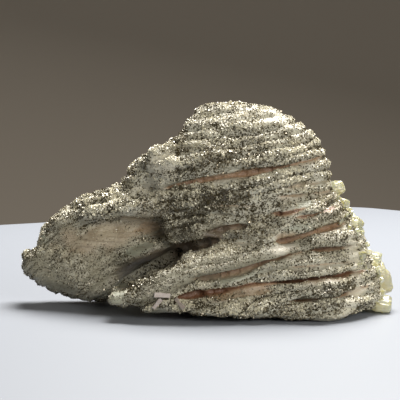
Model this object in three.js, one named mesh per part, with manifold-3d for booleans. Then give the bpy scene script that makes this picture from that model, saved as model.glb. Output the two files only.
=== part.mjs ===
// A barite specimen: a leaning stack of curved barite blades that grew into one body, with yellow
// barite crystals seated along its right flank and three white laths lying on its front.
// Millimetres, +Z up, front towards -Y. The origin is under the middle of the specimen, on the
// surface that it rests on.
import * as THREE from "three";
import { mergeVertices } from "three/addons/utils/BufferGeometryUtils.js";
import Module from "manifold-3d";

const wasm = await Module();
wasm.setup();

// Driving dimensions
const SECTION_TURNS = [0, 35, 72, 115, 180, 245, 288, 325]; // corners round a blade's section, in degrees
const STATION_SPACING = 9; // steps along a blade are about this long
const NOSE_POWER = 2.6; // over 2 squares a blade's section, so that its faces run flat to a round nose
const EDGE_WAVE = 0.4; // how far each of two waves along a blade's front edge moves it in and out
const EDGE_WAVE_RATES = [0.47, 0.9]; // radians of those waves for each millimetre
const THICKNESS_WAVE = 0.08; // share by which a blade's thickness swells and thins along it
const THICKNESS_WAVE_RATE = 0.31; // radians of that wave for each millimetre
const WAVE_SHIFT = 1.7; // radians by which the waves of one blade are ahead of the last one's
const LENS_ENDS = 0.15; // share of a blade's length, at each end, along which its depth stays the same
const BLADE_DIP = 4; // degrees by which a blade rises towards the back
const BLADE_ENDS = [0.1, 0.08]; // share of a blade's length over which its left and right ends round off
const CORE_SIDES = 16; // corners round the massive core
const CORE_POWER = 2.6; // over 2 squares the core's plan
const SEAT_GAP = 0.3; // room round a piece that sits in the body
const TABLET_CORNER = 0.3; // share of a tablet's width that its corners cut off
const TABLET_BEVEL = 0.9; // width of the bevels of a tablet
const LATH_BEVEL = 0.25; // share of a lath's thickness that each bevel takes
const GROUND = { width: 200, depth: 20 }; // the block under the specimen that cuts it flat

// The blades from the top down. Each point of a crest is [x, y, z, thickness]: it is on the upper
// line of the blade's front edge, and the edge is that thick there. depth is how far the blade
// reaches back, and ends the share of its length over which the left and right ends round off.
const BLADES = [
  // the peak
  {
    crest: [[-3.5, 7, 65.4, 5], [3, 6, 66.4, 6], [14, 5, 66.4, 6], [22, 5, 64.4, 6], [30.5, 7, 61, 5]],
    depth: 18,
  },
  { crest: [[-6.5, 3, 61.8, 5], [6, 0, 62.2, 5.5], [21, -1, 62, 5.5], [33.5, 4, 58.6, 5]], depth: 23 },
  { crest: [[-8.5, 2, 58.2, 5], [4, -3, 58.6, 5], [19, -4, 59.4, 5], [36, 3, 56.6, 5]], depth: 27 },
  { crest: [[-12, 2, 54.6, 5], [0, -5, 55, 5], [21, -6, 56.2, 5], [37.5, 2, 54, 5]], depth: 28 },
  { crest: [[-18, 2, 51.8, 4], [-6, -6, 52.4, 5], [15, -8, 53.4, 5], [38.5, 1, 52, 5]], depth: 33 },
  {
    crest: [[-20, 1, 49.4, 3], [-5, -8, 50, 5], [16, -11, 52, 7], [28, -9, 53.6, 7], [39.5, 0, 50, 4]],
    depth: 34,
  },
  {
    crest: [[-18, -1, 46, 5], [0, -8, 46.8, 6], [16, -10.5, 48, 5], [30, -9, 50, 4], [38.5, 0, 47.6, 4]],
    depth: 36,
  },
  // the steps down its left shoulder
  { crest: [[-22.5, 6, 48.2, 4], [-16, 3, 48.8, 5], [-9, 3, 48, 5]], depth: 16 },
  { crest: [[-26.5, 6, 43.6, 4], [-20, 3, 45.4, 5], [-10, 1, 45.2, 8]], depth: 22 },
  { crest: [[-53, 9, 28.8, 5], [-42, 4, 33.2, 6], [-30, 3, 38.4, 6], [-16, 4, 41, 6]], depth: 24 },
  // the long blades of the middle
  {
    crest: [
      [-41, 2, 31.2, 2.5],
      [-30, -3, 34.8, 5],
      [-15, -7, 38, 8],
      [2, -12, 42, 7],
      [25, -13, 45.2, 6],
      [40, -2, 45.2, 5],
    ],
    depth: 36,
  },
  {
    crest: [
      [-14, -5, 34, 5],
      [-2, -10, 36.6, 5],
      [10, -12.5, 39.2, 5],
      [26, -14, 40.6, 4.5],
      [42, -3, 40.6, 5],
    ],
    depth: 34,
  },
  { crest: [[-4, -8, 34, 4], [9, -14, 36, 4.5], [27, -15, 36.8, 4.5], [45, -3, 36, 5]], depth: 38 },
  { crest: [[-4, -9, 31.2, 3.5], [9, -14, 32.8, 4], [19, -14, 32, 3]], depth: 18 },
  {
    crest: [
      [15, -12, 29.6, 2.5],
      [22, -16, 31.2, 3],
      [31, -18, 34.4, 2.6],
      [38, -15, 34.8, 4],
      [47, -4, 33.6, 5],
    ],
    depth: 34,
  },
  // thin leaves in the hollow of the front
  { crest: [[-14, -5, 29.4, 5], [-2, -11, 29.8, 3.4], [6, -12, 30, 3.5], [14, -12, 29.2, 3]], depth: 18 },
  { crest: [[-13, -5, 25, 3.4], [-3, -11.5, 27.2, 3.2], [4, -12, 26.8, 2.6]], depth: 16 },
  {
    crest: [[4, -9, 26.2, 3], [17, -16, 29.4, 3.5], [30, -18, 31.6, 3.5], [38, -15, 32, 4], [49, -4, 30, 5]],
    depth: 41,
  },
  {
    crest: [
      [-3, -10, 19.6, 4],
      [9, -17, 24.4, 4.5],
      [20, -19, 27.6, 5],
      [36, -18, 29.2, 5],
      [50, -5, 27.6, 5],
    ],
    depth: 38,
  },
  { crest: [[-6, -11, 17.6, 3], [8, -18, 23, 3.5], [18, -19, 24.4, 3.5], [27, -18, 24.8, 2.5]], depth: 20 },
  { crest: [[26, -17, 21.6, 3], [35, -20, 25.2, 4], [42, -19, 27.2, 4.5], [52, -5, 24.8, 6]], depth: 34 },
  { crest: [[-15, -16, 13, 3], [-8, -19, 16.8, 3], [-2, -20, 19.6, 3], [8, -20, 20.8, 3]], depth: 20 },
  // the great front blade, whose blunt tip reaches out to the left
  {
    crest: [
      [-30, -24, 8, 3.4],
      [-24, -26, 11, 6.4],
      [-12, -28, 16, 7.6],
      [0, -27, 20, 6.6],
      [12, -25, 21.6, 5.6],
      [24, -23, 22, 4],
      [38, -20, 21.8, 3],
      [53, -6, 20.8, 5],
    ],
    depth: 26,
    ends: [0.02, 0.1],
  },
  // the stack below it
  {
    crest: [
      [-6, -20, 12.2, 4],
      [12, -22, 17.2, 5],
      [24, -22, 19.4, 4],
      [36, -22, 20, 4],
      [53.5, -6, 19.6, 5],
    ],
    depth: 46,
  },
  { crest: [[12, -21, 12.8, 3], [24, -24, 16.4, 4], [36, -24, 18.2, 4], [54, -7, 18.2, 5]], depth: 42 },
  {
    crest: [
      [-8, -22, 7.6, 3],
      [4, -26, 10.8, 4.5],
      [22, -27, 14.2, 5],
      [38, -25, 15.6, 5],
      [56, -7, 15.2, 5],
    ],
    depth: 44,
  },
  { crest: [[18, -24, 7.6, 3], [28, -28, 11, 4], [40, -27, 12, 4.5], [58, -7, 11.6, 5]], depth: 46, dip: 2 },
  {
    crest: [[-20, -21, 5.8, 4], [-13, -25, 8.4, 6], [-5, -25, 9, 6], [6, -20, 8.4, 4]],
    depth: 26,
    ends: [0.05, 0.1],
  },
  {
    crest: [
      [-19, -20, 5, 2.4],
      [-6, -27, 5.2, 2.8],
      [10, -29, 5.6, 4.5],
      [26, -28, 7.6, 5],
      [44, -24, 9.6, 5],
      [58, -7, 8, 5],
    ],
    depth: 48,
    dip: 1,
  },
  { crest: [[14, -25, 3.4, 4], [32, -26, 5.2, 5], [46, -24, 7.6, 6], [57, -8, 6, 5]], depth: 40, dip: 0 },
  { crest: [[30, -22, 2.4, 4], [40, -25.5, 4, 5], [52, -14, 4.8, 5]], depth: 24, dip: 0 },
  // the thick slab that overhangs to the left
  {
    crest: [[-55, 10, 24.8, 7], [-44, 7, 28.6, 11], [-30, 7, 31.6, 14], [-14, 6, 33.2, 14]],
    depth: 20,
    dip: 0,
    ends: [0.04, 0.1],
  },
  { crest: [[-51, 9, 22, 5], [-40, 4.5, 24, 7], [-28, 4, 25, 8], [-13, 6, 26, 8]], depth: 16, dip: 0 },
  {
    crest: [
      [-61, 9, 16.4, 4.8],
      [-56, 6, 19, 9],
      [-44, 2, 20.4, 15],
      [-31, 3, 19.6, 14],
      [-16, 6, 20.2, 12],
      [-4, 8, 21.2, 12],
    ],
    depth: 22,
    dip: -5,
    ends: [0.02, 0.1],
  },
  { crest: [[-30, 3, 16.8, 3], [-21, -2, 20.4, 5], [-12, -3, 23.2, 5], [-2, -2, 24.8, 5]], depth: 22 },
];

// The massive barite behind the edges of the blades. Each level is [z, left, right, front, back],
// and the first reaches just under the ground, which cuts it to the face that the specimen rests on.
const CORES = [
  [
    [-1, -6, 44, -16, 12],
    [2, -9, 48, -18, 12],
    [8, -14, 51, -20, 13],
    [14, -10, 50, -20, 14],
    [21, 4, 48, -14, 15],
    [28, 10, 45, -11, 16],
    [34, 2, 42, -11, 16],
    [40, -17, 38, -8, 17],
    [46, -18, 35, -8, 17],
    [52, -11, 32, -5.5, 18],
    [58, -4, 29, -1.5, 18],
    [63, 1, 24, 4, 18],
  ],
  [
    [10, -46, -22, 9, 14],
    [15, -54, -6, 6, 20],
    [22, -53, 12, 5, 22],
    [30, -46, 14, 7, 22],
    [36, -34, 2, 7, 20],
    [40, -24, -4, 8, 17],
  ],
];

// The yellow crystals from the top down: the middle of each, its [width, depth, thickness] and its
// turn in degrees about X, Y and Z
const YELLOW_CRYSTALS = [
  { at: [42.3, 4, 39.2], size: [6, 6, 3.6], turn: [10, -28, 20] },
  { at: [44.8, 6, 34.4], size: [5.6, 5, 2.8], turn: [-8, 12, -15] },
  { at: [42, 14, 36.6], size: [5, 6, 3], turn: [14, 8, 40] },
  { at: [48.4, 5, 27.6], size: [6.2, 6.6, 4], turn: [12, -34, 10] },
  { at: [49.6, 4.5, 22.6], size: [6, 6, 3.4], turn: [-10, -18, -25] },
  { at: [47, 14, 24.6], size: [6, 5, 3], turn: [8, 16, 30] },
  { at: [54.6, 5, 17], size: [7, 6.4, 3], turn: [4, 8, -12] },
  { at: [51.4, 13.6, 15.4], size: [6, 6, 3.6], turn: [-12, 14, 35] },
  { at: [56.4, 4.5, 10], size: [7, 8.4, 8.6], turn: [6, -12, 14] },
  { at: [56.2, -3.6, 2.9], size: [8.6, 9, 4], turn: [2, 4, -8] },
  { at: [53.6, 13.8, 6], size: [7, 6.6, 4], turn: [10, 10, 28] },
];

// The white laths: the two ends of each on its middle line, and its [width, thickness]
const WHITE_LATHS = [
  { from: [-16, -27.5, 8.9], to: [-11.2, -21.5, 8.3], size: [1.8, 1.2] },
  { from: [-14, -23.3, 7.2], to: [-16.4, -23.1, 4.2], size: [1.5, 1.1] },
  { from: [-9.6, -24.8, 7.2], to: [-7, -25, 4.7], size: [1.3, 1] },
];

const BARITE = new THREE.MeshStandardMaterial({ color: 0x8d8573, roughness: 0.5, metalness: 0.2 });
const YELLOW_BARITE = new THREE.MeshStandardMaterial({ color: 0xd8cf7c, roughness: 0.2, metalness: 0 });
const WHITE_BARITE = new THREE.MeshStandardMaterial({ color: 0xdccfc6, roughness: 0.3, metalness: 0 });

const signedPower = (value, power) => Math.sign(value) * Math.abs(value) ** power;
const roundOff = (t, share) => (t < share ? Math.sqrt(1 - (1 - t / share) ** 2) : 1);
const radians = THREE.MathUtils.degToRad;
const shapeOf = (corners) => new THREE.Shape(corners.map((corner) => new THREE.Vector2(...corner)));

// A closed geometry as a manifold solid
function solidOf(geometry) {
  const bare = geometry.clone();
  bare.deleteAttribute("normal");
  bare.deleteAttribute("uv");
  const merged = mergeVertices(bare, 1e-4);
  return new wasm.Manifold(
    new wasm.Mesh({
      numProp: 3,
      vertProperties: new Float32Array(merged.attributes.position.array),
      triVerts: new Uint32Array(merged.index.array),
    }),
  );
}

// A manifold solid as a flat-shaded geometry
function geometryOf(solid) {
  const mesh = solid.getMesh();
  const indexed = new THREE.BufferGeometry();
  indexed.setAttribute("position", new THREE.BufferAttribute(mesh.vertProperties, 3));
  indexed.setIndex(new THREE.BufferAttribute(mesh.triVerts, 1));
  const geometry = indexed.toNonIndexed();
  geometry.computeVertexNormals();
  return geometry;
}

// A smooth curve through a list of points
const vectorOf = (point) => new THREE.Vector3(...point);
const curveThrough = (points) => new THREE.CatmullRomCurve3(points.map(vectorOf));

// One blade: a sphere whose poles become the left and right ends, drawn out along the crest.
// Its plan is a lens, so its back edge runs in towards the front one at both ends.
function bladeSolid({ crest, depth, dip = BLADE_DIP, ends = BLADE_ENDS }, number) {
  const rim = curveThrough(crest.map(([x, y, z]) => [x, y, z]));
  const heft = curveThrough(crest.map(([x, , , thick]) => [x, thick, 0]));
  const shift = number * WAVE_SHIFT;
  const slope = Math.tan(radians(dip));
  const stations = 4 + Math.round(rim.getLength() / STATION_SPACING);
  const sides = SECTION_TURNS.length;
  const geometry = new THREE.SphereGeometry(1, sides, stations);
  const { position, uv } = geometry.attributes;
  for (let i = 0; i < position.count; i++) {
    const along = (1 - Math.cos(Math.PI * (1 - uv.getY(i)))) / 2;
    const turn = radians(SECTION_TURNS[Math.round(uv.getX(i) * sides) % sides]);
    const edge = rim.getPoint(along);
    const swell = 1 + THICKNESS_WAVE * Math.sin(edge.x * THICKNESS_WAVE_RATE + shift);
    const waves = EDGE_WAVE_RATES.map((rate) => Math.sin(edge.x * rate + shift));
    const wander = EDGE_WAVE * (waves[0] + waves[1]);
    const narrowing = roundOff(along, ends[0]) * roundOff(1 - along, ends[1]);
    const within = THREE.MathUtils.clamp(along, LENS_ENDS, 1 - LENS_ENDS);
    const lens = Math.sqrt(narrowing * Math.sin(Math.PI * within));
    const thick = heft.getPoint(along).y;
    const back = (depth / 2) * lens * (1 - signedPower(Math.cos(turn), 2 / NOSE_POWER));
    const up = (thick / 2) * swell * narrowing * signedPower(Math.sin(turn), 2 / NOSE_POWER);
    position.setXYZ(i, edge.x, edge.y + wander + back, edge.z - thick / 2 + up + back * slope);
  }
  return solidOf(geometry);
}

// The massive core: a sphere whose rings become the plans of the levels, closed below and above
function coreSolid(levels) {
  const sides = curveThrough(levels.map(([z, left, right]) => [left, right, z]));
  const depths = curveThrough(levels.map(([z, , , front, back]) => [front, back, z]));
  const last = levels.length - 1;
  const geometry = new THREE.SphereGeometry(1, CORE_SIDES, last + 2);
  const { position, uv } = geometry.attributes;
  for (let i = 0; i < position.count; i++) {
    const ring = Math.round((1 - uv.getY(i)) * (last + 2)) - 1;
    const share = THREE.MathUtils.clamp(ring, 0, last) / last;
    const { x: left, y: right, z } = sides.getPoint(share);
    const { x: front, y: back } = depths.getPoint(share);
    const reach = ring < 0 || ring > last ? 0 : 1;
    const turn = 2 * Math.PI * uv.getX(i);
    const across = reach * signedPower(Math.cos(turn), 2 / CORE_POWER);
    const away = reach * signedPower(Math.sin(turn), 2 / CORE_POWER);
    position.setXYZ(
      i,
      (left + right) / 2 - ((right - left) / 2) * across,
      (front + back) / 2 + ((back - front) / 2) * away,
      z,
    );
  }
  return solidOf(geometry);
}

// A yellow crystal: a six-sided bevelled tablet, made larger all round by the clearance
function yellowCrystalSolid({ size: [width, depth, thick] }, clearance) {
  const x = width / 2 + clearance;
  const y = depth / 2 + clearance;
  const cut = TABLET_CORNER * width;
  const outline = [[x, 0], [x - cut, y], [cut - x, y], [-x, 0], [cut - x, -y], [x - cut, -y]];
  const height = thick + 2 * clearance - 2 * TABLET_BEVEL;
  const geometry = new THREE.ExtrudeGeometry(shapeOf(outline), {
    depth: height,
    bevelSize: TABLET_BEVEL,
    bevelThickness: TABLET_BEVEL,
    bevelOffset: -TABLET_BEVEL,
    bevelSegments: 1,
  });
  geometry.translate(0, 0, -height / 2);
  return solidOf(geometry);
}

// A lath: a thin strip along X with bevelled long edges
function lathSolid({ from, to, size: [width, thick] }, clearance) {
  const length = vectorOf(from).distanceTo(vectorOf(to)) + 2 * clearance;
  const y = width / 2 + clearance;
  const z = thick / 2 + clearance;
  const bevel = LATH_BEVEL * thick;
  const section = [[y, -z], [y, z - bevel], [y - bevel, z], [bevel - y, z], [-y, z - bevel], [-y, -z]];
  const geometry = new THREE.ExtrudeGeometry(shapeOf(section), { depth: length, bevelEnabled: false });
  geometry.translate(0, 0, -length / 2);
  geometry.rotateY(Math.PI / 2);
  return solidOf(geometry);
}

// A mesh whose solid is made round its own origin, and the larger solid that its seat takes away
function seatedPiece(name, makeSolid, spec, material) {
  const mesh = new THREE.Mesh(geometryOf(makeSolid(spec, 0)), material);
  mesh.name = name;
  const seat = geometryOf(makeSolid(spec, SEAT_GAP));
  return { mesh, seat };
}

const yellowCrystals = YELLOW_CRYSTALS.map((spec, i) => {
  const piece = seatedPiece(`yellow_crystal_${i + 1}`, yellowCrystalSolid, spec, YELLOW_BARITE);
  piece.mesh.position.set(...spec.at);
  piece.mesh.rotation.set(...spec.turn.map(radians));
  return piece;
});

const whiteLaths = WHITE_LATHS.map((spec, i) => {
  const piece = seatedPiece(`white_lath_${i + 1}`, lathSolid, spec, WHITE_BARITE);
  const from = vectorOf(spec.from);
  const to = vectorOf(spec.to);
  piece.mesh.position.copy(from).lerp(to, 0.5);
  piece.mesh.quaternion.setFromUnitVectors(new THREE.Vector3(1, 0, 0), to.sub(from).normalize());
  return piece;
});

const seatedPieces = [...yellowCrystals, ...whiteLaths];

// The intergrown body: core and blades joined, cut flat where it rests, with a seat for each piece
let body = coreSolid(CORES[0]).add(coreSolid(CORES[1]));
BLADES.forEach((blade, number) => {
  body = body.add(bladeSolid(blade, number));
});
const ground = new THREE.BoxGeometry(GROUND.width, GROUND.width, GROUND.depth);
ground.translate(0, 0, -GROUND.depth / 2);
body = body.subtract(solidOf(ground));
for (const { mesh, seat } of seatedPieces) {
  mesh.updateMatrix();
  body = body.subtract(solidOf(seat.applyMatrix4(mesh.matrix)));
}
// only the outer body is kept, so a gap closed in between blades is solid barite
body = body.decompose().sort((a, b) => b.volume() - a.volume())[0];

const bariteBlades = new THREE.Mesh(geometryOf(body), BARITE);
bariteBlades.name = "barite_blades";

// Everything is moved together so that the origin is under the middle
const grown = new THREE.Group();
grown.add(bariteBlades, ...seatedPieces.map(({ mesh }) => mesh));
const middle = new THREE.Box3().setFromObject(grown, true).getCenter(new THREE.Vector3());
grown.position.set(-middle.x, -middle.y, 0);

const specimen = new THREE.Group();
specimen.add(grown);

export default specimen;
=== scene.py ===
"""A barite specimen: curved barite blades grown into one body, dusted with a brassy druse, with
yellow barite crystals on the right flank and three white laths on the front.

Shapes are worked out in millimetres and become metres when a piece is made."""

import itertools
import math

import bpy
import numpy as np
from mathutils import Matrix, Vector
from mathutils.bvhtree import BVHTree


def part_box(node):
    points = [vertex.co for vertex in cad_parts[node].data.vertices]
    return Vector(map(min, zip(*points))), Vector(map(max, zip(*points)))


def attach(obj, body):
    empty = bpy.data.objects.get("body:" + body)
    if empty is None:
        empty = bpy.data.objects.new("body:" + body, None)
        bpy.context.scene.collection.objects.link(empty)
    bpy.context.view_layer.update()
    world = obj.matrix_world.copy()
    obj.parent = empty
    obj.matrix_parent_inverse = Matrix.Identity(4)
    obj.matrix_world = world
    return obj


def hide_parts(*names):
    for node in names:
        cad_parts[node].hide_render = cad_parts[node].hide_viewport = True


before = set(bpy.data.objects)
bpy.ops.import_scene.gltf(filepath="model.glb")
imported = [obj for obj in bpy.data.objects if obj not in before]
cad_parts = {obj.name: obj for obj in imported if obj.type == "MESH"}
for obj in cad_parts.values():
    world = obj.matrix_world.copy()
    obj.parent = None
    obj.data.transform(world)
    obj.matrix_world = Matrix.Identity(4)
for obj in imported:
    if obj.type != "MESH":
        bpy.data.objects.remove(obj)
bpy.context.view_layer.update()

MM = 0.001
BODY_LOW, BODY_HIGH = (np.array(corner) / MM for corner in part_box("barite_blades"))
BODY_SIZE = BODY_HIGH - BODY_LOW

# The mesh of the body: its voxels, and the widest pit that is filled
VOXEL = 0.62
ROUNDING_STEPS = 3
PIT_WIDTH = 2.4

# Carving the blades. A groove narrows over its pointed ends, and its slope below the blade's edge is
# longer than its half width. Its depth and a ledge's height are these times those in the lists below.
POINTED_END = 6
SLOPE_LENGTH = 2.6
GROOVE_DEPTH = 0.8
LEDGE_HEIGHT = 1.5

# The right flank is worn back, most near the foot. The foot comes forward, the slab's underside sags
# and the shelf behind the front blade's edge loses a share of its height.
FLANK_WEAR = 0.6
FLANK_WEAR_AT_FOOT = 1.4
FOOT_FORWARD = 2
SLAB_SAG = 2.6
SHELF_FALL = 0.2

# Where these changes fade in or out, in mm across from the body's left end, up from its foot and back
# from its front, or from the part's origin for the slab. The shelf fades in and out, both across and
# back, and also above the blade's edge.
FLANK_ACROSS = (94, 112)
FLANK_FOOT_UP = (8, 26)
FOOT_BACK = (12, 22)
FOOT_UP = 6
SLAB_ACROSS = (34, 46)
SLAB_BACK = (-2, 8)
SHELF_ACROSS = (30, 36), (45, 57)
SHELF_BACK = (3, 12), (20, 30)
SHELF_ABOVE = (1, 6)

# Weathering. A course is the worn edge of one thin sheet.
COURSE_HEIGHT = 3.0
COURSE_DEPTH = 3.2
COURSE_DEPTH_LOST_ON_FLANK = 1.4
FLANK_LUMPS = 1.1
CREVICE_DEPTH = 5.6
SWELLING = 0.7

# How open a place is: the rays sent out from each point, how far they reach, and how often the
# values are averaged with their neighbours'
EXPOSURE_RAYS = 20
EXPOSURE_REACH = 11.0
EXPOSURE_SETTLING = 16

# The druse. A grain is dark, middling or bright by nature, and its middle stands off the stone by a
# share of its size.
GRAIN_SPACING = 0.44
GRAIN_SIZE = 0.55
GRAIN_LIMIT = 90000
GRAIN_TRIES = 5 * GRAIN_LIMIT
GRAIN_TONES = (-0.42, -0.1, 0.3)
GRAIN_STANDOFF = 0.18

# The crystals that stand on the body, and the smallest and largest of the small ones
CRYSTAL_VOXEL = 0.3
CRYSTAL_ROUGHNESS = 0.12
SMALL_CRYSTALS = 90
SMALL_SIZES = (1.4, 1.1, 0.5), (3.2, 2.4, 1.1)
LATH_STATIONS = 7

# Where a face lies in its own square of the colour map
SQUARE_FACE = np.array([(0.1, 0.1), (0.9, 0.1), (0.9, 0.9), (0.1, 0.9)])
THREE_CORNERS = np.array([(0.1, 0.1), (0.9, 0.1), (0.5, 0.9)])

# The camera stands this far from the low corner of the body, and looks down by this many degrees
CAMERA_STAND = (59.0, -421.17, 68.0)
CAMERA_FALL = 4.06
CAMERA_LENS = 124.8
SENSOR_WIDTH = 36

# The lights are aimed at the middle of the specimen
LIT_PLACE = (0, 0, 30)

# The seeds of what is random
LATTICE_SEED = 11
DRUSE_SEED = 23
TABLET_SEED = 5
SMALL_TABLET_SEED = 14
LATH_SEED = 8


# ---------------------------------------------------------------- shader maths


class Field:
    """A value that varies over a surface, with the arithmetic that adds Math nodes."""

    def __init__(self, finish, socket):
        self.finish = finish
        self.socket = socket

    def math(self, operation, *values):
        return self.finish.node("ShaderNodeMath", {"operation": operation}, dict(enumerate(values)))

    def __add__(self, other):
        return self.math("ADD", self, other)

    def __radd__(self, other):
        return self.math("ADD", other, self)

    def __sub__(self, other):
        return self.math("SUBTRACT", self, other)

    def __rsub__(self, other):
        return self.math("SUBTRACT", other, self)

    def __mul__(self, other):
        return self.math("MULTIPLY", self, other)

    def __rmul__(self, other):
        return self.math("MULTIPLY", other, self)

    def ramp(self, low, high):
        """0 below low and 1 above high, with a smooth rise between them."""
        ends = {"Value": self, "From Min": low, "From Max": high}
        return self.finish.node("ShaderNodeMapRange", {"interpolation_type": "SMOOTHSTEP"}, ends)


class Finish:
    """A material being made. Its shader is the Principled one."""

    def __init__(self, name):
        self.material = bpy.data.materials.new(name)
        self.material.use_nodes = True
        self.tree = self.material.node_tree
        self.shader = self.tree.nodes["Principled BSDF"]

    def node(self, kind, settings=None, sockets=None, output=0):
        """One node of any kind: its settings first, then the values or links of its sockets."""
        made = self.tree.nodes.new(kind)
        for name, value in (settings or {}).items():
            setattr(made, name, value)
        for name, value in (sockets or {}).items():
            self.put(made.inputs[name], value)
        return Field(self, made.outputs[output])

    def put(self, socket, value):
        if isinstance(value, Field):
            self.tree.links.new(value.socket, socket)
        else:
            socket.default_value = value

    def set(self, **sockets):
        """Sets the shader's sockets, named with _ for a space."""
        for name, value in sockets.items():
            self.put(self.shader.inputs[name.replace("_", " ")], value)

    def mark(self, name):
        """A value painted on the mesh."""
        return self.node("ShaderNodeAttribute", {"attribute_name": name}, output="Fac")

    def noise(self, size, detail=3.0, roughness=0.55, stretch=(1, 1, 1)):
        """Noise from 0 to 1 whose lumps are about size millimetres, longer along a stretched axis."""
        place = self.node("ShaderNodeTexCoord", output="Object")
        rates = tuple(1 / (size * MM * share) for share in stretch)
        scaled = self.node("ShaderNodeVectorMath", {"operation": "MULTIPLY"}, {0: place, 1: rates})
        sockets = {"Vector": scaled, "Scale": 1.0, "Detail": detail, "Roughness": roughness}
        return self.node("ShaderNodeTexNoise", sockets=sockets, output="Fac")

    def blend(self, under, over, share):
        """The colour under, with over laid on it by share."""
        return self.node("ShaderNodeMix", {"data_type": "RGBA"}, {0: share, 6: under, 7: over}, output=2)

    def relief(self, height, depth):
        """Bumps depth millimetres deep feed Normal."""
        sockets = {"Strength": 1.0, "Distance": depth * MM, "Height": height}
        self.set(Normal=self.node("ShaderNodeBump", sockets=sockets))


def colour(red, green, blue):
    """A colour given in the 0 to 255 steps of a paint chart, as the shader's linear light."""
    steps = [step / 255 for step in (red, green, blue)]
    light = [step / 12.92 if step <= 0.04045 else ((step + 0.055) / 1.055) ** 2.4 for step in steps]
    return (*light, 1)


# ---------------------------------------------------------------- numbers on points

LATTICE = np.random.default_rng(LATTICE_SEED).uniform(-1, 1, (32, 32, 32))


def noise(points, size, shift, octaves=1):
    """Smooth noise from about -1 to 1. size is its lumps in mm, one number or one for each axis."""
    total = 0
    for octave in range(octaves):
        at = points / size * 2**octave + shift * 7.31 + octave * 3.7
        cell = np.floor(at).astype(int)
        part = at - cell
        part = part * part * (3 - 2 * part)
        for corner in itertools.product((0, 1), repeat=3):
            share = np.prod(np.where(corner, part, 1 - part), axis=1)
            index = (cell + corner) % len(LATTICE)
            total = total + share * LATTICE[tuple(index.T)] / 2**octave
    return total


def ramp(values, low, high):
    """0 below low and 1 above high, with a smooth rise between them."""
    share = np.clip((values - low) / (high - low), 0, 1)
    return share * share * (3 - 2 * share)


def spot(across, back, up):
    """A point in the body's box, from 0 to 1 along each side."""
    return BODY_LOW + BODY_SIZE * (across, back, up)


def layered(points):
    """The points with their height measured along the blades, which arch over from left to right."""
    arch = (0.0035 - 0.00003 * points[:, 2]) * (points[:, 0] - spot(0.92, 0, 0)[0]) ** 2
    dip = -0.07 * points[:, 1]
    return np.stack([points[:, 0], points[:, 1], points[:, 2] + arch + dip], axis=1)


# ---------------------------------------------------------------- meshes


def linked(name, data):
    """An object that holds a mesh, a light or a camera, linked to the scene."""
    made = bpy.data.objects.new(name, data)
    bpy.context.scene.collection.objects.link(made)
    return made


def mesh_object(name, points, faces, finish):
    """A mesh object, from points in millimetres."""
    mesh = bpy.data.meshes.new(name)
    mesh.from_pydata(points * MM, [], faces)
    mesh.materials.append(finish.material)
    return linked(name, mesh)


def piece(name, points, faces, finish, replaced=()):
    """One named mesh of the object."""
    made = mesh_object(name, points, faces, finish)
    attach(made, "root")
    if replaced:
        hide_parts(*replaced)
    return made


def paint(made, **marks):
    """Lays values from 0 to 1 on the points of a mesh, for its finish to read."""
    for name, values in marks.items():
        layer = made.data.attributes.new(name, "FLOAT", "POINT")
        layer.data.foreach_set("value", np.asarray(values, np.float32))


def lay_out(made, cells, corners):
    """The map that the piece's colours are kept on. The faces of one cell share a square of it."""
    side = math.ceil(math.sqrt(cells.max() + 1))
    squares = np.stack([cells % side, cells // side], axis=1)
    places = (squares[:, None] + corners) / side
    layer = made.data.uv_layers.new(name="OFBake")
    layer.uv.foreach_set("vector", places.astype(np.float32).ravel())


def shaped(source, *modifiers):
    """A copy of a mesh with modifiers applied. Each is a kind and its settings."""
    scratch = linked("scratch", source.copy())
    for kind, settings in modifiers:
        modifier = scratch.modifiers.new(kind, kind)
        for name, value in settings.items():
            setattr(modifier, name, value)
    graph = bpy.context.evaluated_depsgraph_get()
    mesh = bpy.data.meshes.new_from_object(scratch.evaluated_get(graph))
    bpy.data.objects.remove(scratch)
    return mesh


def arrays(mesh):
    """A mesh's points in millimetres, and the corners of its faces, which all have as many."""
    points = np.empty(len(mesh.vertices) * 3)
    mesh.vertices.foreach_get("co", points)
    corners = np.empty(len(mesh.loops), int)
    mesh.loops.foreach_get("vertex_index", corners)
    return points.reshape(-1, 3) / MM, corners.reshape(len(mesh.polygons), -1)


def arrays_of(node):
    """The points of a CAD node in millimetres."""
    return np.array([vertex.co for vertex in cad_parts[node].data.vertices]) / MM


def facings(points, quads):
    """Each quad's normal, as long as twice its area."""
    first, second, third, fourth = (points[quads[:, corner]] for corner in range(4))
    return np.cross(third - first, fourth - second)


def normals_at(points, quads):
    """Each point's unit normal."""
    facing = np.repeat(facings(points, quads), 4, axis=0)
    total = [np.bincount(quads.ravel(), facing[:, axis], len(points)) for axis in range(3)]
    total = np.stack(total, axis=1)
    return total / np.linalg.norm(total, axis=1, keepdims=True)


def settled(values, quads, steps):
    """Values on points, each averaged with those round it, step by step."""
    corners = quads.ravel()
    faces_round = np.bincount(corners, minlength=len(values))
    for _ in range(steps):
        means = np.repeat(values[quads].mean(axis=1), 4)
        values = np.bincount(corners, means, len(values)) / faces_round
    return values


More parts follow.
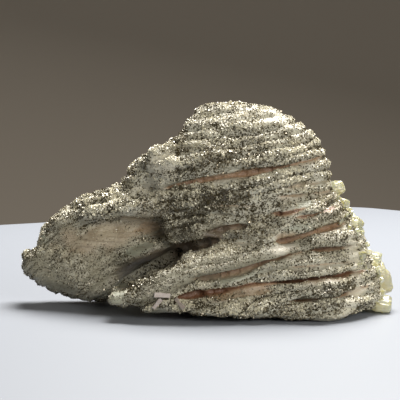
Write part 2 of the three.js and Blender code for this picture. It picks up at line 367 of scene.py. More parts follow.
def openness(points, quads, normals):
    """1 where nothing stands near in front of a point, down to 0 deep in a crevice."""
    tree = BVHTree.FromPolygons(points.tolist(), quads.tolist())
    turn = np.pi * (3 - math.sqrt(5)) * np.arange(EXPOSURE_RAYS)
    height = 1 - (2 * np.arange(EXPOSURE_RAYS) + 1) / EXPOSURE_RAYS
    width = np.sqrt(1 - height**2)
    ways = 0.98 * np.stack([width * np.cos(turn), width * np.sin(turn), height], axis=1)
    total = np.zeros(len(points))
    starts = points + 0.3 * normals
    for way in ways:
        for index, (start, heading) in enumerate(zip(starts, normals + way)):
            distance = tree.ray_cast(start, heading, EXPOSURE_REACH)[3]
            total[index] += 1 if distance is None else distance / EXPOSURE_REACH
    return total / EXPOSURE_RAYS


# ---------------------------------------------------------------- the body


# The front is laid out in millimetres across from the body's left end and up from its foot.
# A groove runs between two blades: its line, half width, depth and how rusty it is.
GROOVES = [
    ([(44, 39.4), (56, 42), (64, 43.6), (72, 44.9), (79, 46), (85, 47), (91, 48.6), (102, 50.6)],
     2.2, 4, 0.6),
    ([(81, 40.6), (94, 41.6), (106, 43.2)], 1.5, 4, 0.3),
    ([(80, 37.8), (91, 38.5), (104, 39.4)], 1.4, 4, 0.5),
    ([(58, 37.6), (70, 39.1)], 1.3, 3.5, 0.8),
    ([(56, 35.1), (70, 35.1), (80, 35)], 1.1, 4, 0.4),
    ([(79, 32), (86, 33), (95, 34.6)], 1.3, 4.5, 1),
    ([(86, 31), (94, 32.4), (106, 34.8)], 1.3, 4, 0.9),
    ([(54, 31), (64, 32.4), (74, 32.2)], 1.0, 3.5, 0.2),
    ([(58, 26.2), (68, 27.9), (78, 29.6)], 1.3, 4.5, 0.5),
    ([(79, 23.2), (87, 24.7), (92, 26.1), (97, 27.5), (109, 29.6)], 2.0, 6, 0.6),
    ([(64, 21.8), (73, 23.4), (83, 23.4)], 1.2, 4, 0.3),
    ([(53, 18.8), (61, 21.5), (68, 25.8)], 1.7, 5, 0.3),
    ([(54, 13.4), (67, 15.1), (73, 16.3), (78, 18.4), (87, 20.5), (97, 21.9), (111, 22.6)], 1.5, 6.5, 0.7),
    ([(84, 15.8), (96, 17.2), (112, 17.6)], 1.1, 3.5, 0.4),
    ([(48, 6.6), (59, 7.9), (67, 9.4), (75, 11.4), (83, 12.2), (91, 12.9), (99, 13.7), (114, 14)],
     1.9, 7.5, 1),
    ([(84, 6.5), (96, 7.8), (104, 8.4), (115, 10)], 1.8, 5.5, 0.8),
    ([(38, 22.6), (46, 24.6), (53, 27.8), (59, 30.4)], 2, 2, 0.3),
]

# A gap is open and steep-sided, with the front blade below it: its line, half width and depth.
GAPS = [
    ([(29, 6), (37, 10), (43.7, 13.4), (49, 16.2), (54, 19), (60, 23)], 4, 11),
]

# The top edge of the front blade: how far across, and how far up.
BLADE_TOP = [(31, 9.5), (36, 11), (43.7, 15), (53, 19), (60, 22)]

# How far back from the body's front the front blade ends and the gap behind it is open, and how far
# back the painted shade in the gap starts and is full.
FRONT_BLADE_BACK = (11.5, 15)
PAINTED_SHADE_BACK = (11.5, 14)

# Over these shares of the body's depth, the front fades into the back.
FRONT_FADE = (0.68, 0.78)

# The rim of the foot is lifted off the ground along the front: how far across, and how far up.
FOOT_RIM = [
    (36, 1.2), (41.3, 1.4), (45.5, 1.6), (52, 2.1), (57, 1.4), (63.7, 1.2), (72, 0.6), (75, 1), (79.5, 1.8),
    (82, 1.9), (85, 1.2), (90.8, 0.4), (95, 0.3), (99, 0.1), (104, 0.3), (107, 1.4), (111, 2.6), (115, 3.2),
]

# A ledge is the raised edge of a blade, which the druse covers most: its line, half width and height.
LEDGES = [
    ([(59, 55.6), (72, 56.3), (85, 56.9), (92, 57.8)], 1.1, 0.7),
    ([(56, 58.7), (72, 59.5), (88, 60.3)], 1.1, 0.7),
    ([(44, 50), (59, 50), (66, 50.7), (70, 51.9), (79, 52.8), (91, 54.6)], 1.3, 1.3),
    ([(48, 39), (56, 40.5), (63, 41.5), (67, 42.5), (75, 43.6), (84, 44.7), (97, 47.2)], 1.2, 1.3),
    ([(62, 36.7), (70, 37.2), (79, 37.3), (91, 37.1), (101, 36.6)], 0.9, 1),
    ([(28, 33.9), (34, 36.2), (43, 37.2), (51, 38.9)], 1.2, 0.9),
    ([(14, 24.5), (22, 27.6), (32, 28.8), (46, 28.8)], 2.4, 0.8),
    ([(80, 30.4), (84, 31.6), (89, 33.5), (92, 35.3)], 1.0, 1.8),
    ([(53, 29.3), (59, 30), (64, 30.5)], 0.9, 1.6),
    ([(53, 25.9), (59, 27.2), (62, 27.9)], 1.1, 1.6),
    ([(64, 21.3), (68, 23.6), (75, 25.6), (84, 27.9), (90, 29.8), (102, 31.4)], 1.1, 1.2),
    ([(91, 23.3), (99, 26), (108, 26.9)], 1.1, 1),
    ([(53, 17.6), (59, 19.4), (64, 20.8), (71, 21.4), (79, 21.7), (87, 21.6)], 1.6, 1),
    ([(79, 15.3), (85, 17.4), (90, 18.3), (107, 18.8)], 1.1, 1.2),
    ([(91, 14.4), (99, 15), (108, 15.4)], 0.8, 0.9),
    ([(84, 8.8), (90, 10.5), (99, 12.2), (111, 12.4)], 1.3, 1.3),
    ([(54, 4), (65, 4.3), (75, 5.4), (84, 6.3)], 1.2, 0.9),
]

# A place on the front with its own look: across, up, half length, half height, slope and kind.
# Crust is clumpy druse, fine and sparse druse are small and thin, and pale druse lies on white stone.
# The shaded druse is painted shade: it darkens the druse and its crust where the blades shade them.
# The dark kind is painted shade too, a dark brown laid in the gap behind the front blade. The other
# kinds are the tints of bare stone.
TINTS = ("tan", "brown", "green", "white", "painted_shade")
PLACES = [
    (29, 24.6, 19, 5, 14, "tan"),
    (42.5, 26.2, 6, 2.2, 17, "brown"),
    (106, 5.5, 5, 2.5, 40, "pale"),
    (46, 45, 9, 4.2, 66, "pale"),
    (40, 39.4, 6.5, 2.6, 14, "pale"),
    (92, 41.5, 6, 1.4, 5, "tan"),
    (92, 35, 3.5, 1.2, 25, "green"),
    (91.5, 28.9, 8, 1.6, 10, "green"),
    (86, 26, 4.5, 1.8, 12, "brown"),
    (83.5, 22, 5, 1.2, 8, "white"),
    (38.5, 19.5, 6, 1.6, 18, "green"),
    (69, 13.5, 10, 1.9, 10, "green"),
    (71, 8.2, 12, 1.7, 7, "brown"),
    (34, 8.4, 3.2, 2, 20, "green"),
    (7, 24, 2.5, 4, 0, "green"),
    (44, 15, 15, 4.2, 25, "painted_shade"),
    (63, 25, 6, 2.4, 30, "painted_shade"),
    (36, 13, 14, 4.5, 24, "shaded_druse"),
    (101, 8, 7, 4, 10, "shaded_druse"),
    (72, 50, 13, 3, 8, "shaded_druse"),
    (107.5, 19, 9, 2.2, 100, "pale"),
    (60, 33, 19, 6, 8, "shaded_druse"),
    (62, 46.5, 16, 3, 6, "shaded_druse"),
    (100, 9, 13, 3, 6, "shaded_druse"),
    (14, 17, 26, 14, -8, "fine"),
    (53, 29.3, 8, 5, 15, "crust"),
    (100, 24, 16, 12, 5, "sparse"),
    (58, 38, 14, 3.5, 8, "crust"),
    (40, 25, 24, 6, 12, "fine"),
    (52, 13.5, 19, 4.5, 20, "fine"),
    (74, 19, 14, 2.6, 8, "fine"),
]


def seen_from_front(points):
    """How far across and up each point is, and 1 for the points on the front and 0 behind."""
    at = points - BODY_LOW
    starts, ends = FRONT_FADE
    return at[:, [0, 2]], 1 - ramp(at[:, 1], starts * BODY_SIZE[1], ends * BODY_SIZE[1])


def beside(at, line):
    """How far each place across the front is above a line, or below it where negative. It counts more
    near the ends of the line, where a mark that follows it narrows to a point. Also 1 along the line
    and 0 at its ends, where the mark fades."""
    away = np.full(len(at), np.inf)
    run, side = np.zeros((2, len(at)))
    length = 0
    for start, end in itertools.pairwise(np.array(line, float)):
        way = end - start
        share = np.clip((at - start) @ way / (way @ way), 0, 1)
        gap = at - start - share[:, None] * way
        nearer = np.linalg.norm(gap, axis=1) < away
        away = np.where(nearer, np.linalg.norm(gap, axis=1), away)
        run = np.where(nearer, length + share * np.linalg.norm(way), run)
        side = np.where(nearer, np.sign(way[0] * gap[:, 1] - way[1] * gap[:, 0]), side)
        length += np.linalg.norm(way)
    inner = ramp(np.minimum(run, length - run), 0, POINTED_END)
    return side * away / (0.15 + 0.85 * inner), inner


def along(points, line, width, power=2):
    """1 on a line across the front, fading over its half width."""
    at, front = seen_from_front(points)
    height, inner = beside(at, line)
    return front * inner * np.exp(-((np.abs(height) / width) ** power))


def under(points, line, width):
    """1 on a line across the front, fading slowly below it and fast above it, as a slope below the
    edge of an overhanging blade."""
    at, front = seen_from_front(points)
    height, inner = beside(at, line)
    below = np.clip(1 + height / width / SLOPE_LENGTH, 0, 1) ** 2
    return front * inner * np.where(height > 0, np.exp(-((height / width / 0.5) ** 2)), below)


def kind_at(points, *kinds):
    """1 in the places of these kinds and 0 away from them."""
    at, front = seen_from_front(points)
    total = np.zeros(len(points))
    for across, up, length, height, slope, kind in PLACES:
        if kind in kinds:
            cosine, sine = math.cos(math.radians(slope)), math.sin(math.radians(slope))
            turn = np.array([(cosine / length, -sine / height), (sine / length, cosine / height)])
            edge = np.linalg.norm((at - (across, up)) @ turn, axis=1) + 0.4 * noise(points, 5, 7, 3)
            inside = front * (1 - ramp(edge, 0.5, 1.3))
            # The painted shade in the gap lies only behind the front blade.
            if kind == "painted_shade":
                inside *= ramp(points[:, 1] - BODY_LOW[1], *PAINTED_SHADE_BACK)
            total = np.maximum(total, inside)
    return total


def carve(points):
    """Sinks the grooves and gaps into the front and raises the ledges and the edge of the blade above
    each groove. Then it wears the flank and shapes the foot, the shelf and the slab."""
    at, front = seen_from_front(points)
    across, up = at.T
    back = points[:, 1] - BODY_LOW[1]
    inward = np.zeros(len(points))
    edge = np.zeros(len(points))
    for line, width, depth, _ in GROOVES:
        inward = np.maximum(inward, GROOVE_DEPTH * depth * under(points, line, width))
        height, inner = beside(at, line)
        edge = np.maximum(edge, inner * np.exp(-((height / width - 1.6) ** 2)))
    inward -= front * edge
    for line, width, height in LEDGES:
        inward -= LEDGE_HEIGHT * height * along(points, line, width)
    behind = ramp(back, *FRONT_BLADE_BACK)
    for line, width, depth in GAPS:
        inward = np.maximum(inward, depth * behind * along(points, line, width, 3))
    carved = points.copy()
    carved[:, 1] += inward
    wear = FLANK_WEAR + FLANK_WEAR_AT_FOOT * (1 - ramp(up, *FLANK_FOOT_UP))
    carved[:, 0] -= ramp(across, *FLANK_ACROSS) * wear
    in_front = 1 - ramp(back, *FOOT_BACK)
    lift = np.interp(across + 1.2 * noise(points, 4, 31), *np.transpose(FOOT_RIM))
    low = np.clip(1 - points[:, 2] / FOOT_UP, 0, 1)
    carved[:, 2] += in_front * lift * low
    carved[:, 1] -= FOOT_FORWARD * in_front * low
    above = up - np.interp(across, *np.transpose(BLADE_TOP))
    rise, fall = SHELF_BACK
    shelf = ramp(back, *rise) * (1 - ramp(back, *fall)) * (1 - ramp(above, *SHELF_ABOVE))
    rise, fall = SHELF_ACROSS
    carved[:, 2] *= 1 - SHELF_FALL * shelf * ramp(across, *rise) * (1 - ramp(across, *fall))
    under_slab = (1 - ramp(across, *SLAB_ACROSS)) * ramp(points[:, 1], *SLAB_BACK)
    carved[:, 2] -= SLAB_SAG * under_slab * np.clip(1.3 - points[:, 2] / 12, 0, 1)
    return carved


def flank(points):
    """1 on the right flank, where the edges of the blades are worn pale and are painted paler still as light
    falling on them, and 0 in front of it.
    """
    lean = 0.4 * (points[:, 2] - BODY_HIGH[2])
    return ramp(points[:, 0] + lean - spot(0.78, 0, 0)[0], -5, 6)


def courses(points):
    """The worn edges of thin sheets, one above another: 1 on the nose of each and 0 between them."""
    sheets = layered(points)
    level = sheets[:, 2] / COURSE_HEIGHT + 0.65 * noise(sheets, (24, 24, 8), 2, 2)
    part = level - np.floor(level)
    return np.sqrt(1 - (2 * part - 1) ** 2)


def weather(points, normals, exposed, smooth):
    """Moves the points of the smooth solid out and in. Crevices deepen, and the faces of the blades
    take lumps and courses. Also gives how far each point stands out."""
    side = flank(points)
    rough = (1 - 0.85 * smooth) * (1 - 0.5 * kind_at(points, "fine"))
    rough = rough * (1 - 0.7 * ramp(-normals[:, 2], 0.1, 0.5))
    depth = COURSE_DEPTH - COURSE_DEPTH_LOST_ON_FLANK * side
    stand = depth * (courses(points) - 0.75) * ramp(noise(points, (12, 12, 7), 9, 2), -0.8, 0.2)
    stand += FLANK_LUMPS * side * noise(points, (6, 4.5, 3.5), 33, 2)
    clumps = ramp(normals[:, 2], 0.1, 0.6) * (1 - ramp(points[:, 0], -16, 0))
    clumps = np.maximum(clumps, kind_at(points, "crust"))
    stand += (0.5 + 0.6 * clumps) * noise(points, (3.2, 3.2, 2.2), 4, 2)
    height = CREVICE_DEPTH * (np.clip(exposed, 0.4, 0.8) - 0.7)
    summit = ramp(points[:, 2], BODY_HIGH[2] - 10, BODY_HIGH[2] - 3)
    height += SWELLING * noise(points, 12, 1, 2) + rough * stand * (1 - 0.7 * summit)
    height *= ramp(points[:, 2], 0.1, 2.5)
    moved = points + height[:, None] * normals
    moved[:, 2] = np.maximum(moved[:, 2], 0)
    return moved, stand


def carved_blades():
    """The points and faces of the blades as one solid, with narrow pits filled and the front carved."""
    remesh = ("REMESH", {"mode": "VOXEL", "voxel_size": VOXEL * MM})
    round_off = ("SMOOTH", {"factor": 0.5, "iterations": ROUNDING_STEPS})
    swell = ("DISPLACE", {"strength": PIT_WIDTH / 2 * MM, "mid_level": 0})
    shrink = ("DISPLACE", {"strength": -PIT_WIDTH / 2 * MM, "mid_level": 0})
    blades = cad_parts["barite_blades"].data
    solid = shaped(blades, remesh, swell, remesh, shrink, remesh, round_off)
    solid.vertices.foreach_set("co", (carve(arrays(solid)[0]) * MM).ravel())
    return arrays(shaped(solid, remesh, round_off))


def smooth_and_rusty(points):
    """How smooth and bare the stone is, and how rusty, which it is deep in some grooves."""
    slopes = np.max([under(points, line, width) for line, width, _, _ in GROOVES], axis=0)
    smooth = ramp(slopes + 0.3 * noise(points, 5, 15, 2), 0.28, 0.58)
    deep = [rusty * under(points, line, 0.7 * width) for line, width, _, rusty in GROOVES]
    return np.maximum(kind_at(points, *TINTS), smooth), np.max(deep, axis=0)


def white_and_lit_cap(points, normals):
    """How white the stone is: in patches of bare stone on the front of the peak, whiter on faces turned up
    as painted light, and in the pale places.
    """
    # Painted light: the cap is whiter on faces turned up.
    cap = 0.4 + 0.6 * ramp(normals[:, 2] + 0.3 * noise(points, 4, 19, 2), 0.3, 0.9)
    cap *= 0.45 + 0.55 * ramp(noise(points, 5, 21, 2), -0.5, 0.3)
    cap *= ramp(points[:, 2] + 2 * noise(points, 7, 22, 2) - spot(0, 0, 0.86)[2], 0, 6)
    cap *= 1 - 0.7 * ramp(points[:, 1], 2, 12)
    return np.maximum(cap, 1.3 * kind_at(points, "pale"))


def druse_cover(points, normals, exposed, stand, smooth, rust, fine, sparse, worn):
    """How much of the stone the druse covers. It lies in patches on what stands out, thinly on smooth
    stone, undersides and the peak, and hardly at all on worn edges and rust."""
    cover = ramp(exposed + 0.1 * noise(points, 3, 5, 2), 0.45, 0.63)
    cover *= 0.35 + 0.65 * ramp(noise(points, 7, 12, 3), -0.5, 0.3)
    cover *= 0.35 + 0.65 * ramp(stand, -0.9, 0)
    cover *= 1 - 0.82 * smooth
    cover *= 1 - 0.3 * fine - 0.15 * sparse
    cover *= 1 - 0.75 * ramp(-normals[:, 2], 0.15, 0.6)
    cover *= 1 - 0.4 * ramp(points[:, 2] - spot(0, 0, 0.7)[2], 0, 12)
    cover *= 1 - 0.9 * ramp(rust, 0.3, 0.7)
    cover *= 1 - worn
    cover *= 1 - 0.2 * ramp(normals[:, 2], 0.5, 0.9)
    return np.maximum(cover, 0.8 * kind_at(points, "crust")) * ramp(points[:, 2], 0.2, 1.5)


def make_body(finish):
    """The intergrown body, and what the druse needs to know of its surface."""
    points, quads = carved_blades()
    normals = normals_at(points, quads)
    exposed = settled(openness(points, quads, normals), quads, EXPOSURE_SETTLING)
    smooth, rust = smooth_and_rusty(points)
    rim, fine, sparse = flank(points), kind_at(points, "fine"), kind_at(points, "sparse")
    points, stand = weather(points, normals, exposed, smooth)
    normals = normals_at(points, quads)
    fine *= 1 - 0.7 * ramp(normals[:, 2], 0.5, 0.85)
    cap = white_and_lit_cap(points, normals)
    worn = np.maximum(0.55 * rim, 0.6 * cap)
    cover = druse_cover(points, normals, exposed, stand, smooth, rust, fine, sparse, worn)
    fine = np.maximum(fine, 0.6 * sparse)
    rim = np.minimum(np.maximum(rim, cap), 1)
    # Painted shade: the shaded places lower the stand, so the crust and the grains there are painted darker.
    stand -= 0.85 * kind_at(points, "shaded_druse")
    # Painted shade: this is 1 on the noses of the courses and 0 in the notches between them, where the crust
    # is painted dark.
    nose = ramp(stand, -1.1, 0)
    body = piece("barite_body", points, quads, finish, ["barite_blades"])
    paint(body, exposed=exposed, smooth=smooth, rim=rim, cover=cover, rust=rust, fine=fine, nose=nose)
    paint(body, **{tint: kind_at(points, tint) for tint in TINTS})
    lay_out(body, np.arange(len(quads)), SQUARE_FACE)
    body.data.shade_smooth()
    return points, quads, normals, cover, fine, stand


# ---------------------------------------------------------------- the druse

ZONES = {
    "druse_peak": (0.62, 0.5, 0.86),
    "druse_heart": (0.68, 0.4, 0.52),
    "druse_foot": (0.66, 0.2, 0.16),
    "druse_slab": (0.3, 0.5, 0.46),
    "druse_tip": (0.14, 0.5, 0.3),
}
GRAIN_CORNERS = np.array([(1, 0, 0), (-1, 0, 0), (0, 1, 0), (0, -1, 0), (0, 0, 1), (0, 0, -1)])
GRAIN_FACES = np.array(
    [(0, 2, 4), (2, 1, 4), (1, 3, 4), (3, 0, 4), (2, 0, 5), (1, 2, 5), (3, 1, 5), (0, 3, 5)]
)


def scattered(points, quads, normals, cover, fine, stand, random):
    """Places and normals for the grains, thick where cover is high and spaced out. Also what the
    surface is like at each grain: its cover, fineness and stand."""
    area = np.linalg.norm(facings(points, quads), axis=1) / 2
    wanted = area * ramp(cover[quads].mean(axis=1), 0.05, 0.7)
    tries = random.choice(len(quads), GRAIN_TRIES, p=wanted / wanted.sum())
    across, along = random.uniform(size=(2, len(tries), 1))
    shares = [(1 - across) * (1 - along), across * (1 - along), across * along, (1 - across) * along]
    at = sum(share * points[quads[tries, corner]] for corner, share in enumerate(shares))
    facing = sum(share * normals[quads[tries, corner]] for corner, share in enumerate(shares))
    cells = np.floor(at / GRAIN_SPACING).astype(int)
    kept = np.unique(cells, axis=0, return_index=True)[1]
    kept = random.permutation(kept)[:GRAIN_LIMIT]
    corner = quads[tries[kept], 0]
    return at[kept], facing[kept], cover[corner], fine[corner], stand[corner]


def turned(random, count):
    """Random rotation matrices."""
    w, x, y, z = random.normal(size=(4, count))
    w, x, y, z = np.array([w, x, y, z]) / np.sqrt(w * w + x * x + y * y + z * z)
    rows = [
        [1 - 2 * (y * y + z * z), 2 * (x * y - z * w), 2 * (x * z + y * w)],
        [2 * (x * y + z * w), 1 - 2 * (x * x + z * z), 2 * (y * z - x * w)],
        [2 * (x * z - y * w), 2 * (y * z + x * w), 1 - 2 * (x * x + y * y)],
    ]
    return np.moveaxis(np.array(rows), 2, 0)


def make_druse(surface, finish):
    """Tens of thousands of small crystals, as one mesh for each zone of the body."""
    random = np.random.default_rng(DRUSE_SEED)
    at, facing, thick, fine, stand = scattered(*surface, random)
    size = GRAIN_SIZE * random.lognormal(0, 0.3, len(at)) * (0.78 + 0.4 * thick) * (1 - 0.32 * fine)
    clump = noise(at, (2.6, 2.6, 1.5), 27, 2)
    # Painted light and shade: grains are made paler on the noses of the courses and on upward faces, and
    # darker in the notches, on downward faces and in the shaded places, besides their own random tone and
    # clumps.
    tone = 0.38 + 0.4 * stand + 0.3 * clump + 0.3 * (thick - 0.5) - 0.2 * fine + 0.25 * facing[:, 2]
    tone = tone + random.choice(GRAIN_TONES, len(at)) + random.uniform(-0.15, 0.15, len(at))
    tone = np.clip(tone, 0, 1)
    tarnish = ramp(noise(at, 9, 6, 2), -0.6, 0.8)
    shape = GRAIN_CORNERS * random.uniform(0.7, 1.1, (len(at), 1, 3)) * size[:, None, None] / 2
    corners = np.einsum("nij,nkj->nki", turned(random, len(at)), shape)
    corners += (at + GRAIN_STANDOFF * size[:, None] * facing)[:, None, :]
    zone = np.argmin([np.linalg.norm(at - spot(*centre), axis=1) for centre in ZONES.values()], axis=0)
    for index, name in enumerate(ZONES):
        here = np.flatnonzero(zone == index)
        faces = GRAIN_FACES + len(GRAIN_CORNERS) * np.arange(len(here))[:, None, None]
        grains = piece(name, corners[here].reshape(-1, 3), faces.reshape(-1, 3), finish)
        each = len(GRAIN_CORNERS)
        paint(grains, tone=np.repeat(tone[here], each), tarnish=np.repeat(tarnish[here], each))
        lay_out(grains, np.repeat(np.arange(len(here)), len(GRAIN_FACES)), THREE_CORNERS)


# ---------------------------------------------------------------- the yellow crystals and the laths


# The tablets of one yellow crystal lie side by side: each one's size against the seat, how far it
# is moved along the seat's width, depth and thickness, and how far it is turned
TABLETS = [
    (1.0, (0, 0, 0), 0),
    (0.84, (0.16, -0.1, 0.2), 5),
    (0.72, (-0.2, 0.14, 0.22), -8),
    (0.6, (0.14, 0.16, -0.3), 11),
]
OUT_OF_FLANK = np.array((-0.6, -0.5, 0.2))


def tablet(size):
    """An eight-sided plate with bevelled edges."""
    x, y, z = size / 2
    cut, bevel = 0.32 * y, 0.3 * z
    outline = [(x, y - cut), (x - cut, y), (cut - x, y), (-x, y - cut)]
    outline = np.array(outline + [(-across, -along) for across, along in outline])
    rings = [(-z, 0.78), (bevel - z, 1), (z - bevel, 1), (z, 0.78)]
    points = [np.column_stack([share * outline, np.full(8, level)]) for level, share in rings]
    faces = [tuple(range(7, -1, -1)), tuple(range(24, 32))]
    for ring, corner in itertools.product(range(0, 24, 8), range(8)):
        after = (corner + 1) % 8
        faces.append((ring + corner, ring + after, ring + after + 8, ring + corner + 8))
    return np.concatenate(points), faces


def together(plates):
    """The points and faces of several plates as those of one mesh."""
    starts = itertools.accumulate([0] + [len(points) for points, _ in plates])
    faces = [
        [corner + start for corner in face] for start, (_, sides) in zip(starts, plates) for face in sides
    ]
    return np.concatenate([points for points, _ in plates]), faces


def axes_of(points):
    """The middle of a seat, its size along its width, depth and thickness, and those three directions."""
    middle = (points.min(axis=0) + points.max(axis=0)) / 2
    ways = np.linalg.svd(points - middle, full_matrices=False)[2]
    ways[2] *= np.sign(np.linalg.det(ways))
    return middle, np.ptp((points - middle) @ ways.T, axis=0), ways


def make_yellow_crystals(finish):
    """Each crystal is a few tablets grown side by side in one seat."""
    random = np.random.default_rng(TABLET_SEED)
    for name in sorted(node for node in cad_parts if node.startswith("yellow_crystal")):
        middle, size, ways = axes_of(arrays_of(name))
        plates = []
        for share, shift, turn in TABLETS:
            plate, faces = tablet(size * share * random.uniform(0.88, 1.12, 3))
            angle = math.radians(turn + random.uniform(-4, 4))
            cosine, sine = math.cos(angle), math.sin(angle)
            spin = np.array([(cosine, sine, 0), (-sine, cosine, 0), (0, 0, 1)])
            plates.append(((plate @ spin + shift * size) @ ways + middle + OUT_OF_FLANK, faces))
        points, faces = together(plates)
        grown = bpy.data.meshes.new("grown")
        grown.from_pydata(points * MM, [], faces)
        fused = ("REMESH", {"mode": "VOXEL", "voxel_size": CRYSTAL_VOXEL * MM})
        points, quads = arrays(shaped(grown, fused, ("SMOOTH", {"factor": 0.5, "iterations": 1})))
        uneven = CRYSTAL_ROUGHNESS * noise(points, (1.5, 1.5, 0.9), 40, 2)
        points += uneven[:, None] * normals_at(points, quads)
        points[:, 2] = np.maximum(points[:, 2], 0)
        made = piece(name.replace("crystal", "tablet"), points, quads, finish, [name])
        paint(made, green=np.full(len(points), random.uniform()))


def make_small_crystals(points, quads, normals, finish):
    """Small tablets strewn over the right flank between the large crystals."""
    random = np.random.default_rng(SMALL_TABLET_SEED)
    middles, facing = points[quads].mean(axis=1), normals[quads[:, 0]]
    area = np.linalg.norm(facings(points, quads), axis=1) / 2
    wanted = area * ramp(facing[:, 0], 0.5, 0.9) * ramp(middles[:, 0], 40, 48) * ramp(middles[:, 1], -16, -6)
    wanted *= ramp(middles[:, 2], 1.5, 4) * (1 - ramp(middles[:, 2], 42, 50))
    chosen = random.choice(len(quads), SMALL_CRYSTALS, replace=False, p=wanted / wanted.sum())
    turns = turned(random, SMALL_CRYSTALS)
    plates = []
    for at, turn in zip(middles[chosen] + 0.2 * facing[chosen], turns):
        plate, faces = tablet(random.uniform(*SMALL_SIZES))
        plates.append((plate @ turn + at, faces))
    corners, faces = together(plates)
    corners[:, 2] = np.maximum(corners[:, 2], 0)
    made = piece("yellow_small_tablets", corners, faces, finish)
    paint(made, green=np.repeat(random.uniform(size=SMALL_CRYSTALS), len(plates[0][0])))


def make_white_laths(body_points, body_quads, finish):
    """Each lath is a thin strip that lies on the body, uneven along its edges."""
    random = np.random.default_rng(LATH_SEED)
    tree = BVHTree.FromPolygons(body_points.tolist(), body_quads.tolist())
    for name in sorted(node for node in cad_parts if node.startswith("white_lath")):
        middle, (length, width, _), (way, *_) = axes_of(arrays_of(name))
        stations = np.linspace(-0.5, 0.5, LATH_STATIONS)
        line = middle + stations[:, None] * length * way
        rests = [tree.ray_cast((x, BODY_LOW[1] - 5, z), (0, 1, 0))[0] for x, _, z in line]
        found = np.array([rest.y if rest else middle[1] for rest in rests])
        line[:, 1] = np.linspace(found[0], found[-1], LATH_STATIONS)
        line[:, 1] += np.min(found - line[:, 1])
        side = np.cross(way, (0, 1, 0))
        side *= width / 2 / np.linalg.norm(side)
        rings = []
        for at in line:
            left, right = random.uniform(0.8, 1.1, 2)
            section = [(left, 0.5), (0.8 * left, -0.9), (-0.8 * right, -0.9), (-right, 0.5)]
            rings.append([at + across * side + (0, deep, 0) for across, deep in section])
        faces = [(0, 1, 2, 3), tuple(4 * LATH_STATIONS - 1 - corner for corner in range(4))]
        for ring, corner in itertools.product(range(0, 4 * LATH_STATIONS - 4, 4), range(4)):
            after = (corner + 1) % 4
            faces.append((ring + corner, ring + corner + 4, ring + after + 4, ring + after))
        piece(name.replace("lath", "strip"), np.concatenate(rings), faces, finish, [name])


# ---------------------------------------------------------------- finishes


def barite_finish():
    """Cream barite, tan to red-brown in the crevices and duller where the druse covers it. Painted shade
    darkens the gap behind the front blade, the notches between courses and the shaded places, and painted
    light makes the right flank and the peak's upward faces paler.
    """
    finish = Finish("banded_barite")
    exposed = finish.mark("exposed")
    rust = finish.mark("rust")
    cloud = finish.noise(7, 4)
    grain = finish.noise(0.8, 3)
    cream = finish.blend(colour(196, 192, 174), colour(172, 168, 148), cloud.ramp(0.35, 0.65))
    tan = finish.blend(colour(192, 174, 146), colour(164, 142, 114), finish.noise(5, 3).ramp(0.4, 0.62))
    bare = finish.blend(cream, tan, (exposed + 0.3 * (cloud - 0.5)).ramp(0.8, 0.45))
    # Partly painted shade: the grey-olive of the fine places is the stone's own, made darker to stand for
    # the shade over the slab's face.
    bare = finish.blend(bare, colour(132, 126, 102), 0.7 * finish.mark("fine"))
    bare = finish.blend(bare, tan, 0.6 * finish.mark("tan"))
    brown = (finish.mark("brown") + 0.9 * (cloud - 0.5)).ramp(0, 1)
    bare = finish.blend(bare, colour(142, 116, 82), 0.8 * brown)
    bare = finish.blend(bare, colour(152, 154, 134), 0.7 * finish.mark("green"))
    bare = finish.blend(bare, colour(220, 213, 194), 0.9 * finish.mark("white"))
    streaks = finish.noise(1.1, 5, 0.65, (7, 7, 0.7))
    bare = finish.blend(bare, colour(112, 100, 78), 0.5 * streaks.ramp(0.48, 0.7))
    bare = finish.blend(bare, colour(158, 128, 98), (rust + 0.4 * (cloud - 0.5)).ramp(0.05, 0.6))
    bare = finish.blend(bare, colour(104, 70, 46), (rust + 0.5 * (cloud - 0.5)).ramp(0.4, 0.85))
    # Painted shade: dark brown laid over the gap behind the front blade, where its shadow falls.
    bare = finish.blend(bare, colour(88, 74, 58), 0.85 * finish.mark("painted_shade"))
    crust = finish.blend(colour(104, 98, 80), colour(190, 184, 163), grain.ramp(0.38, 0.58))
    # Painted shade: the crust is darkened in the notches between the courses and in the shaded places.
    crust = finish.blend(colour(60, 54, 41), crust, finish.mark("nose"))
    stone = finish.blend(bare, crust, finish.mark("cover").ramp(0.2, 0.9))
    # Painted light: the pale laid on the worn right flank and the white cap is stronger where light falls,
    # on the flank and on faces turned up.
    finish.set(
        Base_Color=finish.blend(stone, colour(206, 199, 178), finish.mark("rim") * 0.65),
        Roughness=0.62 - 0.2 * finish.mark("smooth"),
        Subsurface_Weight=0.12,
        Subsurface_Radius=(1.0, 0.85, 0.65),
        Subsurface_Scale=1.5 * MM,
        IOR=1.64,
    )
    finish.relief(grain + 1.2 * streaks, 0.35)
    return finish


def druse_finish():
    """Small brassy grey crystals, each with its own tone and some of them tarnished. The tone also carries
    painted light and shade: paler on upward faces and on the noses of the courses, darker on downward
    faces, in the notches and in the shaded places.
    """
    finish = Finish("brassy_druse")
    tone = finish.mark("tone")
    pale = finish.blend(colour(86, 77, 55), colour(212, 205, 178), tone.ramp(0.22, 0.92))
    finish.set(
        Base_Color=finish.blend(pale, colour(110, 95, 62), finish.mark("tarnish") * 0.35),
        Metallic=0.5 - 0.45 * tone.ramp(0.3, 0.6),
        Roughness=0.16 + 0.24 * tone,
        IOR=1.9,
    )
    return finish


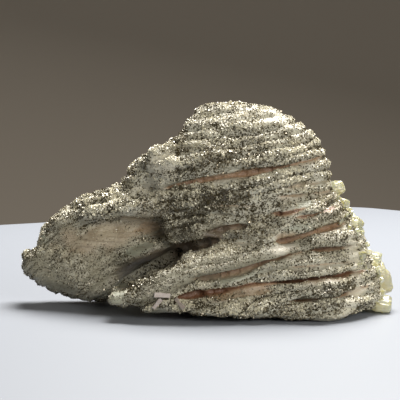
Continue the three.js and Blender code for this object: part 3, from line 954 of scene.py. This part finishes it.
def yellow_finish():
    """Clear yellow barite, a little milky."""
    finish = Finish("yellow_barite")
    milky = finish.blend(colour(232, 226, 192), colour(224, 226, 198), finish.mark("green"))
    finish.set(
        Base_Color=finish.blend(milky, colour(216, 202, 134), finish.noise(4, 3).ramp(0.45, 0.8)),
        Roughness=0.28,
        IOR=1.636,
        Transmission_Weight=0.55,
        Subsurface_Weight=0.5,
        Subsurface_Radius=(1.0, 0.95, 0.5),
        Subsurface_Scale=2.0 * MM,
    )
    finish.relief(finish.noise(1.6, 3, stretch=(2, 2, 0.8)), 0.07)
    return finish


def white_finish():
    """Pinkish white, with a silky gleam."""
    finish = Finish("white_barite")
    finish.set(
        Base_Color=finish.blend(colour(192, 180, 170), colour(164, 152, 143), finish.noise(1.5, 3)),
        Roughness=0.35,
        IOR=1.636,
        Subsurface_Weight=0.3,
        Subsurface_Radius=(1.0, 0.8, 0.7),
        Subsurface_Scale=1.0 * MM,
    )
    finish.relief(finish.noise(0.5, 2), 0.08)
    return finish


def stage_finish(name, paint_colour, roughness):
    finish = Finish(name)
    finish.set(Base_Color=paint_colour, Roughness=roughness)
    return finish


# ---------------------------------------------------------------- stage, lights and camera


def staged(name, points, faces, finish):
    made = mesh_object(name, np.array(points), faces, finish)


def make_table():
    """A pale table top with round corners. Its far corner is behind the specimen to the right."""
    side, corner_radius, turn, steps = 1500.0, 30.0, math.radians(35), 12
    far_corner = np.array([93.0, 458.0])
    corners = np.array([(-1, -1), (1 - side, -1), (1 - side, 1 - side), (-1, 1 - side)])
    inwards = [(-1, -1), (1, -1), (1, 1), (-1, 1)]
    outline = []
    for quarter, (corner, inward) in enumerate(zip(corners, inwards)):
        centre = corner + corner_radius * np.array(inward)
        for step in range(steps + 1):
            angle = math.pi / 2 * (quarter + step / steps)
            outline.append(centre + corner_radius * np.array([math.cos(angle), math.sin(angle)]))
    rotation = np.array([[math.cos(turn), math.sin(turn)], [-math.sin(turn), math.cos(turn)]])
    outline = np.array(outline) @ rotation + far_corner
    top = [(x, y, 0.0) for x, y in outline]
    staged("table", top, [range(len(top))], stage_finish("table_paint", colour(134, 138, 145), 0.5))


def make_wall():
    """A plain wall well behind the table."""
    reach, foot, height, distance = 4000.0, -800.0, 2600.0, 1600.0
    corners = [(-reach, foot), (reach, foot), (reach, height), (-reach, height)]
    corners = [(x, distance, z) for x, z in corners]
    staged("wall", corners, [(0, 1, 2, 3)], stage_finish("wall_paint", colour(194, 182, 167), 0.9))


def aimed(name, data, place, target):
    """A light or a camera at a place, turned to face another."""
    made = linked(name, data)
    made.location = Vector(place) * MM
    heading = Vector(target) - Vector(place)
    made.rotation_euler = heading.to_track_quat("-Z", "Y").to_euler()
    return made


def softbox(name, place, size, power, tint):
    light = bpy.data.lights.new(name, "AREA")
    light.shape = "RECTANGLE"
    light.size, light.size_y = size[0] * MM, size[1] * MM
    light.energy = power
    light.color = tint
    aimed(name, light, place, LIT_PLACE)


def make_lights():
    """A large soft light over the back, a weaker one in front and a dim room."""
    softbox("window", (150, 350, 730), (560, 420), 22.5, (1.0, 0.98, 0.95))
    softbox("front_fill", (300, -560, 230), (350, 250), 3.2, (1.0, 0.98, 0.94))
    room = bpy.data.worlds.new("room")
    room.use_nodes = True
    glow = room.node_tree.nodes["Background"].inputs
    glow["Color"].default_value = (0.88, 0.86, 0.8, 1)
    glow["Strength"].default_value = 0.12
    bpy.context.scene.world = room


def make_camera():
    camera = bpy.data.cameras.new("camera")
    camera.lens = CAMERA_LENS
    camera.sensor_width = SENSOR_WIDTH
    x, y, z = place = BODY_LOW + CAMERA_STAND
    target = (x, 0, z + y * math.tan(math.radians(CAMERA_FALL)))
    bpy.context.scene.camera = aimed("camera", camera, place, target)


# ---------------------------------------------------------------- the whole

make_camera()
make_lights()
make_table()
make_wall()
bpy.context.scene.view_settings.view_transform = "Standard"
surface = make_body(barite_finish())
make_druse(surface, druse_finish())
clear_yellow = yellow_finish()
make_yellow_crystals(clear_yellow)
make_small_crystals(*surface[:3], clear_yellow)
make_white_laths(*surface[:2], white_finish())
